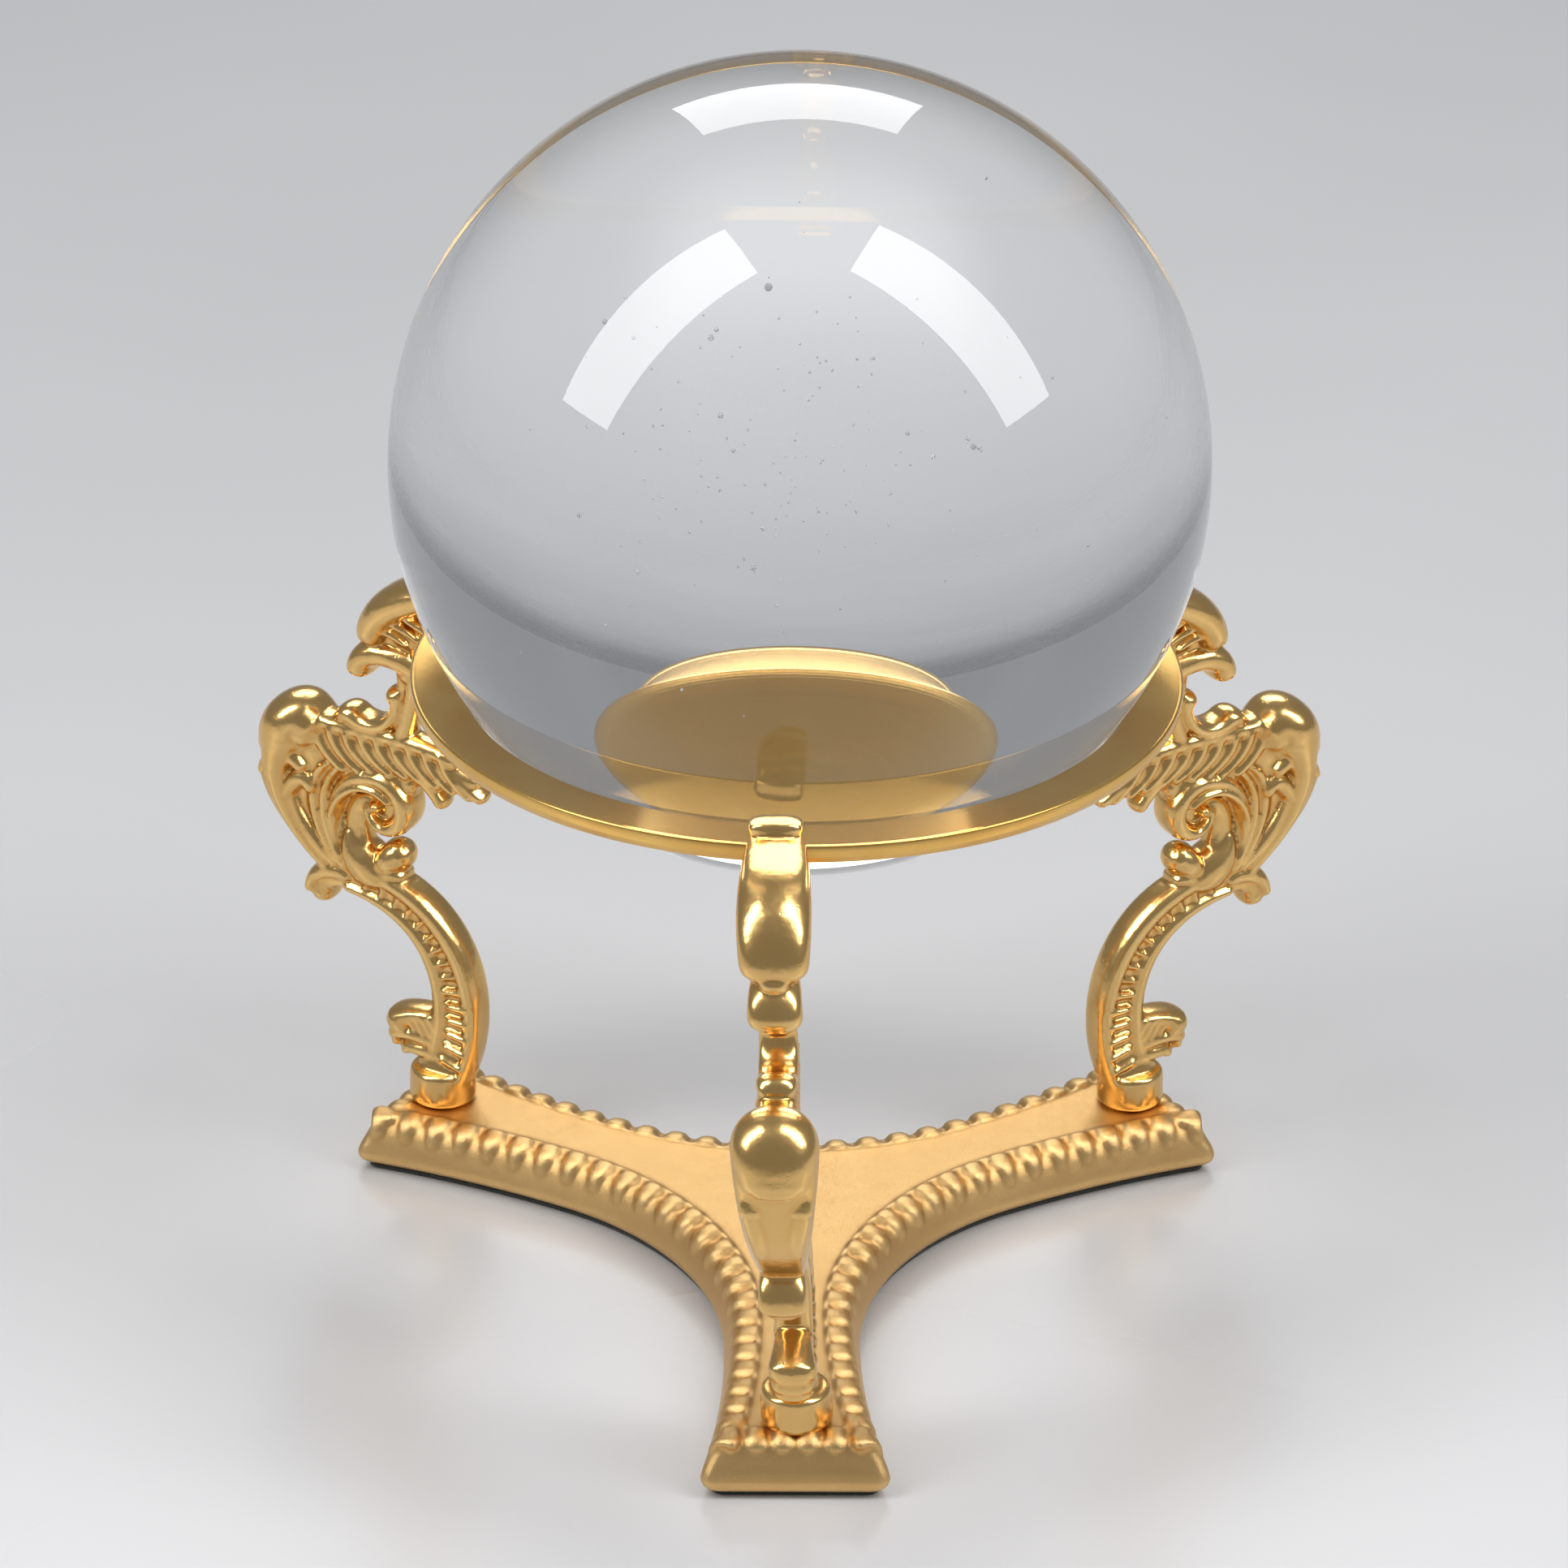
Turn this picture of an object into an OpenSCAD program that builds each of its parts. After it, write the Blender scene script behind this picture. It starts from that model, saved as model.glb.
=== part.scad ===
// Crystal ball on a three-legged scrolled stand.
// +Z is up, the origin is on the stand's axis at table level, and the front leg points along -Y.
// All sizes are in millimetres.

/* [Ball] */
// Diameter of the solid glass ball
ball_d = 110; // [80:1:150]
// Gap left all round between the ball and its seat in the ring
seat_gap = 0.15; // [0.1:0.05:0.4]

/* [Ring] */
// Diameter of the ring's bore at its underside
ring_bore_d = 88; // [72:0.5:106]
// Width of the flat ring from its bore to its outside edge, at its underside
ring_w = 8.5; // [6:0.1:12]
// Thickness of the ring
ring_t = 2.8; // [2.2:0.1:5]
// Height of the ring's top face above the table
ring_top = 91; // [75:0.5:115]
// Bevel round the ring's lower outside edge
ring_bevel = 0.9; // [0.3:0.1:1]

/* [Legs] */
// Diameter of a leg's round foot
foot_d = 9.8; // [7.5:0.1:12]
// Height of a leg's round foot
foot_h = 5.5; // [4:0.1:8]
// Width of a leg's casting across its stem, which the other widths follow
leg_w = 5.4; // [4:0.1:7]
// How far the knee stands outside the straight line from foot to ring
knee_out = 25; // [20:0.5:32]
// Lean of the front leg towards -X at ring height, from being fitted by hand
front_lean = 4; // [0:0.5:5]
// Turn of the front leg about its foot, in degrees, from being fitted by hand
front_turn = 3; // [0:0.5:5]

/* [Base] */
// Height of the base's flat top above the table
base_top = 8; // [6:0.5:12]
// Distance from the axis to the end of each toe, along the bottom edge
toe_r = 65.5; // [54:0.5:80]
// Distance from the end of a toe, along the bottom edge, in to the middle of the foot that stands on it
foot_inset = 7.5; // [6:0.1:12]
// Half of a toe's width, along the bottom edge
toe_half_w = 13; // [10:0.5:18]
// Radius of a toe's two corners, seen from above
toe_corner_r = 1.4; // [0.5:0.1:2.5]
// Half of an arm's width at its narrowest, along the bottom edge
arm_half_w = 9.4; // [8:0.1:11]
// Distance from the axis to the nearest point of a hollow side
waist_r = 18; // [14:0.5:24]
// How far the top edge is set in from the bottom edge
wall_slope = 2; // [1:0.1:3]
// Thickness of the felt under the base
felt_t = 0.8; // [0.5:0.1:2]
// How far the felt stays inside the bottom edge
felt_inset = 1.2; // [0.5:0.1:3]

/* [Fixings] */
// Diameter of the screw that holds each foot
screw_d = 4; // [3:0.5:5]
// Length of the foot screw under its head
screw_l = 9; // [7:0.5:11]
// Diameter of the foot screw's head
screw_head_d = 6.6; // [5.5:0.1:8]
// Height of the foot screw's head
screw_head_h = 1.8; // [1.2:0.1:2.4]
// Thickness of the washer under each head
washer_t = 0.6; // [0.4:0.1:1]
// Diameter of the pin that holds the ring in each leg
pin_d = 1.6; // [1.2:0.1:1.8]
// Length of the ring pin
pin_l = 6; // [4:0.5:7]
// Radial clearance of screws and pins in their holes
hole_gap = 0.1; // [0.05:0.05:0.3]
// Gap between the ring and its notch in each leg
notch_gap = 0.05; // [0.03:0.01:0.2]
// Least gap between the ball and a leg's cap
cap_gap = 0.5; // [0.3:0.1:1.5]

/* [Hidden] */

gold = [0.93, 0.68, 0.29];
steel = [0.62, 0.63, 0.65];
felt_black = [0.09, 0.1, 0.1];
glass = [0.85, 0.9, 0.92, 0.45];

FRONT = -90;
LEFT = 150;
RIGHT = 30;
ARM_ANGLES = [RIGHT, LEFT, FRONT];

ball_r = ball_d / 2;
ring_or = ring_bore_d / 2 + ring_w;
ring_bottom = ring_top - ring_t;
seat_r = ball_r + seat_gap;
// the seat sphere meets the bore at the ring's underside
ball_z = ring_bottom + sqrt(seat_r * seat_r - ring_bore_d * ring_bore_d / 4);
ring_arris = 0.3;

foot_r = toe_r - foot_inset;
foot_top = base_top + foot_h;
leg_h = ring_top - base_top;
pin_z = ring_bottom + ring_t / 2;
pin_outside = 2.4;

washer_d = screw_head_d + 0.4;
head_recess = 0.4;
counterbore_h = screw_head_h + washer_t + head_recess;
counterbore_d = washer_d + 0.4;
slot_w = 1;
slot_h = 0.8;
hole_spare = 0.6;
foot_hole_top = felt_t + counterbore_h + screw_l + hole_spare;

// radius of the hollow side that is tangent to both arms and passes at waist_r
hollow_r = (waist_r * sin(60) - arm_half_w) / (1 - sin(60));
hollow_end = (arm_half_w + hollow_r) / tan(60);
flare = toe_half_w - arm_half_w;
wall_steps = 4;
first_step_share = 0.4;

// the leg curves below are drawn for this width and this knee, and scaled from them
drawn_leg_w = 5.4;
drawn_knee_out = 25;

ball_fn = 96;
round_fn = 48;
foot_fn = 32;
hole_fn = 24;
bead_fn = 10;
hollow_steps = 10;
flare_steps = 5;
corner_steps = 3;

// ---- base outline ----

// half width of an arm at a distance along it, from the waist to the toe
function arm_edge(along, inset) =
    let (out = max(0, along - hollow_end) / (toe_r - hollow_end))
    arm_half_w - inset + flare * out * out;

// one arm's left edge, from the middle of the hollow side out to the toe, in the arm's own frame
function arm_side(inset) = concat(
    [for (i = [0 : hollow_steps])
        let (a = 30 - 30 * i / hollow_steps)
        [hollow_end - (hollow_r + inset) * sin(a), arm_half_w + hollow_r - (hollow_r + inset) * cos(a)]],
    [for (i = [1 : flare_steps])
        let (along = hollow_end + (toe_r - inset - toe_corner_r - hollow_end) * i / flare_steps)
        [along, arm_edge(along, inset)]],
    [for (i = [1 : corner_steps])
        let (a = 90 - 90 * i / corner_steps, along = toe_r - inset - toe_corner_r)
        [along + toe_corner_r * cos(a), arm_edge(along, inset) - toe_corner_r * (1 - sin(a))]]);

function turned(p, a) = [p[0] * cos(a) - p[1] * sin(a), p[0] * sin(a) + p[1] * cos(a)];

// the whole three-armed outline, set in from the bottom edge by inset
function base_outline(inset) =
    let (side = arm_side(inset), last = len(side) - 1)
    [for (a = [150, 270, 390]) each concat(
        [for (i = [1 : last]) turned([side[i][0], -side[i][1]], a)],
        [for (i = [last : -1 : 0]) turned(side[i], a)])];

// ---- leg curves, in the leg's own plane ----

// a point of the leg: how far outside the foot-to-ring line, and how high as a share of the leg
function leg_point(out, up) = [
    foot_r + (ring_or - foot_r) * up + out * knee_out / drawn_knee_out,
    base_top + leg_h * up];

// point on a cubic curve with four control points
function on_curve(c, t) =
    pow(1 - t, 3) * c[0] + 3 * pow(1 - t, 2) * t * c[1] + 3 * (1 - t) * t * t * c[2] + pow(t, 3) * c[3];

// one round of a scroll: an oblong bead of half thickness t and half width w
module bead(p, t, w) {
    translate([p[0], 0, p[1]])
        scale([t, w, t])
            sphere(r = 1, $fn = bead_fn);
}

// a limb that follows a cubic curve and swells from its ends to its middle
// c: control points as leg_point arguments; t, w: [start, middle, end] half thickness and half width
module limb(c, t, w, steps) {
    points = [for (p = c) leg_point(p[0], p[1])];
    for (i = [0 : steps - 1])
        hull()
            for (k = [i, i + 1])
                let (f = k / steps)
                bead(on_curve(points, f), swell(t, f), swell(w, f) * leg_w / drawn_leg_w);
}

function swell(s, f) = s[0] * (1 - f) * (1 - 2 * f) + 4 * s[1] * f * (1 - f) + s[2] * f * (2 * f - 1);

// foot up to the root of the knee
module stem() {
    limb([[-0.6, 0.06], [-5, 0.2], [-1, 0.385], [16.5, 0.405]], [3.6, 3.8, 2.6], [2.7, 2.6, 3], 6);
    // outward curl low on the stem, with its bead
    limb([[-1.5, 0.1], [2, 0.125], [4.5, 0.155], [7.2, 0.145]], [2.6, 1.8, 2.2], [2.4, 2.2, 2.3], 2);
    limb([[0, 0.08], [2, 0.09], [4, 0.095], [5, 0.095]], [2, 1.6, 1.5], [2.2, 2.1, 2], 1);
}

// leafed outer mass and rounded head of the knee
module knee() {
    limb([[13.5, 0.4], [23, 0.42], [29, 0.5], [25.5, 0.625]], [2.4, 4.2, 5.2], [3, 3.4, 4.8], 4);
    limb([[14, 0.42], [19, 0.47], [22, 0.56], [22, 0.66]], [3, 4.5, 6.6], [2.9, 3.2, 5.6], 3);
    limb([[24.5, 0.675], [26, 0.67], [28, 0.65], [30, 0.61]], [5.3, 5, 3.4], [5.7, 5.6, 4.6], 2);
    // outer curl under the leaf
    limb([[16, 0.4], [19, 0.4], [21.5, 0.39], [22.5, 0.36]], [2, 1.6, 2], [2.8, 2.9, 3.2], 2);
}

// C-shaped scroll and curl inside the knee
module inner_scrolls() {
    limb([[19, 0.5], [18.5, 0.62], [8, 0.64], [8.5, 0.52]], [2, 1.7, 1.8], [3, 3, 2.8], 4);
    limb([[8.5, 0.53], [9, 0.49], [12.5, 0.49], [13.5, 0.54]], [1.8, 1.6, 1.8], [2.8, 2.8, 3], 2);
    limb([[16, 0.42], [12, 0.4], [9, 0.43], [8, 0.47]], [2.6, 1.9, 2.3], [3, 2.8, 2.8], 3);
}

// arm that runs from the knee in under the ball
module arm() {
    limb([[24, 0.665], [14, 0.61], [6, 0.645], [-3, 0.625]], [3.6, 3.3, 1.8], [3.2, 2.8, 2.2], 5);
    // small volute on the arm
    limb([[19.5, 0.665], [18.5, 0.7], [17, 0.71], [15.5, 0.69]], [1.6, 1.5, 1.7], [2.6, 2.5, 2.4], 1);
    // knob under the inner end
    limb([[5.5, 0.64], [4.5, 0.62], [4, 0.6], [3.6, 0.59]], [2, 1.6, 1.6], [2.4, 2.2, 2.1], 1);
}

// upper scroll: stem, rounded head that reaches in over the ring, and outward volute
module upper_scroll() {
    limb([[10, 0.68], [7, 0.76], [8, 0.84], [3.6, 0.94]], [2.2, 1.8, 2.4], [2.5, 2.4, 2.9], 4);
    limb([[-1.2, 1.005], [4.5, 0.96], [12.5, 0.935], [16.2, 0.86]], [2.3, 3.3, 2.3], [3.5, 4.4, 3.6], 5);
    limb([[6.5, 0.825], [13, 0.87], [19.5, 0.87], [18.4, 0.805]], [1.8, 1.5, 1.9], [2.6, 3.1, 3.5], 3);
}

// the ring before its bore is cut, grown by gap on every side
module ring_blank(gap) {
    rotate_extrude($fn = ball_fn)
        polygon([
            [0, ring_bottom - gap],
            [ring_or - ring_bevel, ring_bottom - gap],
            [ring_or + gap, ring_bottom + ring_bevel],
            [ring_or + gap, ring_top - ring_arris],
            [ring_or - ring_arris, ring_top + gap],
            [0, ring_top + gap]]);
}

// a leg standing on its foot along +X, leaning by lean at ring height and turned about its foot
module leg_casting(lean, turn) {
    rise = lean / leg_h;
    swing = tan(turn);
    difference() {
        union() {
            multmatrix([[1, 0, 0, 0], [-swing, 1, -rise, foot_r * swing + foot_top * rise], [0, 0, 1, 0]])
                union() {
                    stem();
                    knee();
                    inner_scrolls();
                    arm();
                    upper_scroll();
                }
            translate([foot_r, 0, base_top])
                cylinder(h = foot_h, d = foot_d, $fn = foot_fn);
        }
        ring_blank(notch_gap);
        translate([0, 0, ball_z])
            sphere(r = ball_r + cap_gap, $fn = ball_fn);
        translate([foot_r, 0, base_top - 1])
            cylinder(h = foot_hole_top - base_top + 1, r = screw_d / 2 + hole_gap, $fn = hole_fn);
        // flat seat of the foot on the base
        translate([0, -foot_d, base_top - foot_d])
            cube([foot_r * 2, foot_d * 2, foot_d]);
        ring_pin_solid(lean, hole_gap, hole_fn);
    }
}

// ---- sub-parts ----

module crystal_ball() {
    color(glass)
        translate([0, 0, ball_z])
            sphere(r = ball_r, $fn = ball_fn);
}

module ball_ring() {
    color(gold)
        difference() {
            ring_blank(0);
            translate([0, 0, ring_bottom - 1])
                cylinder(h = ring_t + 2, d = ring_bore_d, $fn = ball_fn);
            translate([0, 0, ball_z])
                sphere(r = seat_r, $fn = ball_fn);
            rotate([0, 0, RIGHT])
                ring_pin_solid(0, hole_gap / 2, round_fn);
            rotate([0, 0, LEFT])
                ring_pin_solid(0, hole_gap / 2, round_fn);
            rotate([0, 0, FRONT])
                ring_pin_solid(front_lean, hole_gap / 2, round_fn);
        }
}

// sideways place of a leg's neck at the pin's height
function neck_shift(lean) = -lean * (pin_z - foot_top) / leg_h;

// pin along +X through the ring's edge into a leg's neck
module ring_pin_solid(lean, gap, fn) {
    translate([ring_or + pin_outside - pin_l, neck_shift(lean), pin_z])
        rotate([0, 90, 0])
            translate([0, 0, -gap])
                cylinder(h = pin_l + 2 * gap, r = pin_d / 2 + gap, $fn = fn);
}

module placed_leg(angle, lean, turn) {
    color(gold)
        rotate([0, 0, angle])
            leg_casting(lean, turn);
}

module placed_pin(angle, lean) {
    color(steel)
        rotate([0, 0, angle])
            ring_pin_solid(lean, 0, round_fn);
}

module leg_front() {
    placed_leg(FRONT, front_lean, front_turn);
}

module leg_left() {
    placed_leg(LEFT, 0, 0);
}

module leg_right() {
    placed_leg(RIGHT, 0, 0);
}

module ring_pin_front() {
    placed_pin(FRONT, front_lean);
}

module ring_pin_left() {
    placed_pin(LEFT, 0);
}

module ring_pin_right() {
    placed_pin(RIGHT, 0);
}

// cast base in sloping steps, with a counterbored screw hole under each foot
module base_plate() {
    body_h = base_top - felt_t;
    color(gold)
        difference() {
            union()
                for (i = [0 : wall_steps - 1])
                    let (share = i / (wall_steps - 1))
                    translate([0, 0, felt_t])
                        linear_extrude(height = body_h * (first_step_share + (1 - first_step_share) * share))
                            polygon(base_outline(wall_slope * share));
            for (a = ARM_ANGLES)
                rotate([0, 0, a])
                    translate([foot_r, 0, 0]) {
                        cylinder(h = base_top + 1, r = screw_d / 2 + hole_gap, $fn = round_fn);
                        cylinder(h = felt_t + counterbore_h, d = counterbore_d, $fn = round_fn);
                    }
        }
}

// slotted pan head with its shank, pushed up from under the base
module placed_screw(angle) {
    head_z = felt_t + counterbore_h - washer_t - screw_head_h;
    color(steel)
        rotate([0, 0, angle])
            translate([foot_r, 0, head_z])
                difference() {
                    union() {
                        cylinder(h = screw_head_h, d = screw_head_d, $fn = round_fn);
                        cylinder(h = screw_head_h + washer_t + screw_l, d = screw_d, $fn = round_fn);
                    }
                    translate([-screw_head_d, -slot_w / 2, -1])
                        cube([screw_head_d * 2, slot_w, slot_h + 1]);
                }
}

module placed_washer(angle) {
    color(steel)
        rotate([0, 0, angle])
            translate([foot_r, 0, felt_t + counterbore_h - washer_t])
                difference() {
                    cylinder(h = washer_t, d = washer_d, $fn = round_fn);
                    translate([0, 0, -1])
                        cylinder(h = washer_t + 2, r = screw_d / 2 + hole_gap, $fn = round_fn);
                }
}

module foot_screw_front() {
    placed_screw(FRONT);
}

module foot_screw_left() {
    placed_screw(LEFT);
}

module foot_screw_right() {
    placed_screw(RIGHT);
}

module foot_washer_front() {
    placed_washer(FRONT);
}

module foot_washer_left() {
    placed_washer(LEFT);
}

module foot_washer_right() {
    placed_washer(RIGHT);
}

// felt glued under the base, which hides the screws
module felt_sheet() {
    color(felt_black)
        linear_extrude(height = felt_t)
            polygon(base_outline(felt_inset));
}

crystal_ball();
ball_ring();
leg_front();
leg_left();
leg_right();
ring_pin_front();
ring_pin_left();
ring_pin_right();
base_plate();
foot_screw_front();
foot_screw_left();
foot_screw_right();
foot_washer_front();
foot_washer_left();
foot_washer_right();
felt_sheet();
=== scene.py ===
"""Crystal ball on a three-legged gilt stand: the detailed pieces and their finishes."""

import logging
import math
import random
from dataclasses import dataclass
from enum import Enum
from typing import Callable, Iterable, Optional, Sequence

import bmesh
import bpy
from mathutils import Matrix, Quaternion, Vector


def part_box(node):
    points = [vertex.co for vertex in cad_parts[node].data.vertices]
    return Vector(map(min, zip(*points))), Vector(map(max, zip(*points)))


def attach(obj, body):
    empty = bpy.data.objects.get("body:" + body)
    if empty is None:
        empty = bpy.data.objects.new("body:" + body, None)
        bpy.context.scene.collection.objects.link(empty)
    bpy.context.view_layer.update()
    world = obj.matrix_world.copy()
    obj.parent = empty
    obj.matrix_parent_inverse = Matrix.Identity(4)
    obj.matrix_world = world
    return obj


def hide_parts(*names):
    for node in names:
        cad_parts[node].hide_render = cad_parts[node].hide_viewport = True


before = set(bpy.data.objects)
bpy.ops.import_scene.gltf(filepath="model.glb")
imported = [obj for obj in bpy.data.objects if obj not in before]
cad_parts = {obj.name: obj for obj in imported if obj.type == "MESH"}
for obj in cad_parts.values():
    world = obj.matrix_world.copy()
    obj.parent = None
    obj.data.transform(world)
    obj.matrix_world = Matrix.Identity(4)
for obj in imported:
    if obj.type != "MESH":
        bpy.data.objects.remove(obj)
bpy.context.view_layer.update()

LOG = logging.getLogger("crystal_ball")
MM = 0.001
Pair = tuple[float, float]
Triple = tuple[float, float, float]


class Side(Enum):
    """Which way a leg points, as its turn about the stand's axis in degrees."""

    FRONT = -90.0
    LEFT = 150.0
    RIGHT = 30.0


# ---------------------------------------------------------------- shader maths


class Val:
    """A number socket that takes Python arithmetic, adding a Math node for each operation."""

    def __init__(self, shader: "Shader", socket: bpy.types.NodeSocket) -> None:
        """Wraps one output socket of a shader's node."""
        self.shader = shader
        self.socket = socket

    def _math(self, operation: str, a: "Val | float", b: "Val | float") -> "Val":
        """Adds a Math node and returns its result."""
        node = self.shader.node("ShaderNodeMath", {"operation": operation}, {0: a, 1: b})
        return Val(self.shader, node.outputs[0])

    def __add__(self, other: "Val | float") -> "Val":
        """Returns self + other."""
        return self._math("ADD", self, other)

    __radd__ = __add__

    def __mul__(self, other: "Val | float") -> "Val":
        """Returns self * other."""
        return self._math("MULTIPLY", self, other)

    __rmul__ = __mul__

    def __rsub__(self, other: "Val | float") -> "Val":
        """Returns other - self."""
        return self._math("SUBTRACT", other, self)

    def __pow__(self, other: "Val | float") -> "Val":
        """Returns self to the power of other."""
        return self._math("POWER", self, other)

    def clamp(self, low: float, high: float) -> "Val":
        """Returns the value scaled so that low becomes 0 and high becomes 1, and cut off there."""
        node = self.shader.node("ShaderNodeMapRange", {"clamp": True}, {0: self, 1: low, 2: high})
        return Val(self.shader, node.outputs[0])


class Shader:
    """A material being built: one method adds any node, and a few name the usual ones."""

    def __init__(self, name: str) -> None:
        """Makes an empty node material.

        Args:
            name: the material's name.
        """
        self.material = bpy.data.materials.new(name)
        self.material.use_nodes = True
        self.tree = self.material.node_tree
        self.tree.nodes.clear()
        coordinates = self.node("ShaderNodeTexCoord", {}, {})
        self.place = coordinates.outputs["Object"]

    def node(self, kind: str, settings: dict, inputs: dict) -> bpy.types.Node:
        """Adds one node.

        Args:
            kind: the node's type.
            settings: attributes set first; a ramp's stops come as "stops": [(place, colour), ...].
            inputs: socket name or index to a value, a socket or a Val.

        Returns:
            The node.
        """
        node = self.tree.nodes.new(kind)
        for key, value in settings.items():
            if key == "stops":
                self._set_stops(node.color_ramp, value)
            else:
                setattr(node, key, value)
        for key, value in inputs.items():
            socket = value.socket if isinstance(value, Val) else value
            if isinstance(socket, bpy.types.NodeSocket):
                self.tree.links.new(socket, node.inputs[key])
            else:
                node.inputs[key].default_value = socket
        return node

    @staticmethod
    def _set_stops(ramp: bpy.types.ColorRamp, stops: Sequence[tuple[float, tuple]]) -> None:
        """Gives a colour ramp its stops."""
        while len(ramp.elements) < len(stops):
            ramp.elements.new(0.5)
        for element, (place, colour) in zip(ramp.elements, stops):
            element.position = place
            element.color = colour

    def stretched(self, scale: Triple) -> bpy.types.NodeSocket:
        """Returns Object coordinates stretched by scale."""
        return self.node("ShaderNodeMapping", {}, {"Vector": self.place, "Scale": scale}).outputs[0]

    def noise(self, scale: float, detail: float = 3.0, vector: Optional[bpy.types.NodeSocket] = None) -> Val:
        """Returns a noise value, with scale in waves per metre."""
        node = self.node(
            "ShaderNodeTexNoise", {}, {"Vector": vector or self.place, "Scale": scale, "Detail": detail}
        )
        return Val(self, node.outputs[0])

    def cells(self, scale: float) -> Val:
        """Returns the distance to the nearest of scattered points, with scale in points per metre."""
        node = self.node("ShaderNodeTexVoronoi", {}, {"Vector": self.place, "Scale": scale})
        return Val(self, node.outputs["Distance"])

    def pointiness(self) -> Val:
        """Returns 0.5 on flats, more on edges and less in hollows."""
        return Val(self, self.node("ShaderNodeNewGeometry", {}, {}).outputs["Pointiness"])

    def ramp(self, value: Val, stops: Sequence[tuple[float, tuple]]) -> bpy.types.NodeSocket:
        """Returns the colour that a value has on a ramp."""
        return self.node("ShaderNodeValToRGB", {"stops": stops}, {0: value}).outputs[0]

    def blend(self, factor: Val, a: object, b: object) -> bpy.types.NodeSocket:
        """Returns colour a where factor is 0 and colour b where it is 1."""
        node = self.node("ShaderNodeMix", {"data_type": "RGBA"}, {0: factor, 6: a, 7: b})
        return node.outputs[2]

    def bump(self, height: Val, strength: float, distance: float) -> bpy.types.NodeSocket:
        """Returns a normal bumped by a height in the range 0 to 1.

        Args:
            height: the height.
            strength: how much of the bump shows.
            distance: the height's range, in metres.
        """
        node = self.node(
            "ShaderNodeBump", {}, {"Height": height, "Strength": strength, "Distance": distance}
        )
        return node.outputs[0]

    def surface(self, inputs: dict) -> bpy.types.Material:
        """Ends the material with one Principled shader.

        Args:
            inputs: the shader's sockets.

        Returns:
            The material.
        """
        bsdf = self.node("ShaderNodeBsdfPrincipled", {}, inputs)
        self.node("ShaderNodeOutputMaterial", {}, {"Surface": bsdf.outputs[0]})
        return self.material


# ---------------------------------------------------------------- finishes


def opaque(colour: Triple) -> tuple[float, float, float, float]:
    """Returns a colour with an alpha of 1."""
    return (*colour, 1.0)


@dataclass(frozen=True)
class Gilt:
    """Gold plate over a brass casting.

    Attributes:
        name: the finish's name.
        bright: colour of the open faces.
        dark_tone_and_shade: a darker, redder colour that random cloud blends towards, and that the hollows
            are painted with as shade.
        rough: roughness of the open faces and of the hollows.
        ripple: strength of the casting's slow ripple.
        pits: strength of the fine pits.
        satin: strength of the fine satin grain.
    """

    name: str
    bright: Triple = (0.93, 0.62, 0.24)
    # darker colour: painted shade in the hollows and random cloud blend towards it
    dark_tone_and_shade: Triple = (0.62, 0.27, 0.05)
    rough: Pair = (0.17, 0.34)
    ripple: float = 0.5
    pits: float = 0.25
    satin: float = 0.0

    def build(self) -> bpy.types.Material:
        """Returns the finish as a material."""
        s = Shader(self.name)
        # painted shade: hollows, found by pointiness, are darkened in the colour below; the same mask also
        # raises roughness there
        hollow = 1 - s.pointiness().clamp(0.42, 0.52)
        cloud = s.noise(160, 4)
        painted_shade_and_tone = (hollow * 0.75 + cloud * 0.3).clamp(0.1, 1.0)
        colour = s.blend(painted_shade_and_tone, opaque(self.bright), opaque(self.dark_tone_and_shade))
        smear = s.noise(700, 5)
        rough = self.rough[0] + (self.rough[1] - self.rough[0]) * (hollow * 0.6 + smear * 0.4)
        ripple = s.noise(260, 2)
        pits = s.cells(1400).clamp(0.0, 0.35) * s.noise(300, 2).clamp(0.45, 0.6)
        height = ripple * self.ripple + pits * self.pits * 0.3
        if self.satin:
            height = height + s.noise(9000, 2) * self.satin
        return s.surface(
            {
                "Base Color": colour,
                "Metallic": 1.0,
                "Roughness": rough,
                "Normal": s.bump(height, 0.6, 0.00035),
            }
        )


@dataclass(frozen=True)
class TurnedGilt:
    """Gold plate over a turned ring, with fine turning marks round its axis."""

    name: str = "turned_gilt"
    bright: Triple = (0.95, 0.6, 0.18)
    # darker tone that random cloud blends towards; no shade is painted on the ring
    dark_tone_and_shade: Triple = (0.84, 0.46, 0.11)

    def build(self) -> bpy.types.Material:
        """Returns the finish as a material."""
        s = Shader(self.name)
        apart = s.node("ShaderNodeSeparateXYZ", {}, {0: s.place})
        x, y = Val(s, apart.outputs[0]), Val(s, apart.outputs[1])
        radius = (x * x + y * y) ** 0.5
        across = s.node("ShaderNodeCombineXYZ", {}, {0: radius, 2: apart.outputs[2]}).outputs[0]
        marks = s.noise(9000, 2, across)
        cloud = s.noise(90, 3)
        colour = s.blend(cloud.clamp(0.35, 0.75), opaque(self.bright), opaque(self.dark_tone_and_shade))
        rough = 0.16 + marks * 0.08 + cloud * 0.08
        height = marks * 0.35 + s.noise(220, 2) * 0.5
        return s.surface(
            {
                "Base Color": colour,
                "Metallic": 1.0,
                "Roughness": rough,
                "Normal": s.bump(height, 0.35, 0.0001),
            }
        )


@dataclass(frozen=True)
class ClearGlass:
    """Polished optical glass."""

    name: str = "clear_glass"
    tint: Triple = (0.97, 0.985, 0.99)
    ior: float = 1.52

    def build(self) -> bpy.types.Material:
        """Returns the finish as a material."""
        s = Shader(self.name)
        smear = s.noise(45, 4).clamp(0.52, 0.8)
        rough = smear * 0.012
        return s.surface(
            {
                "Base Color": opaque(self.tint),
                "Roughness": rough,
                "IOR": self.ior,
                "Transmission Weight": 1.0,
            }
        )


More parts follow.
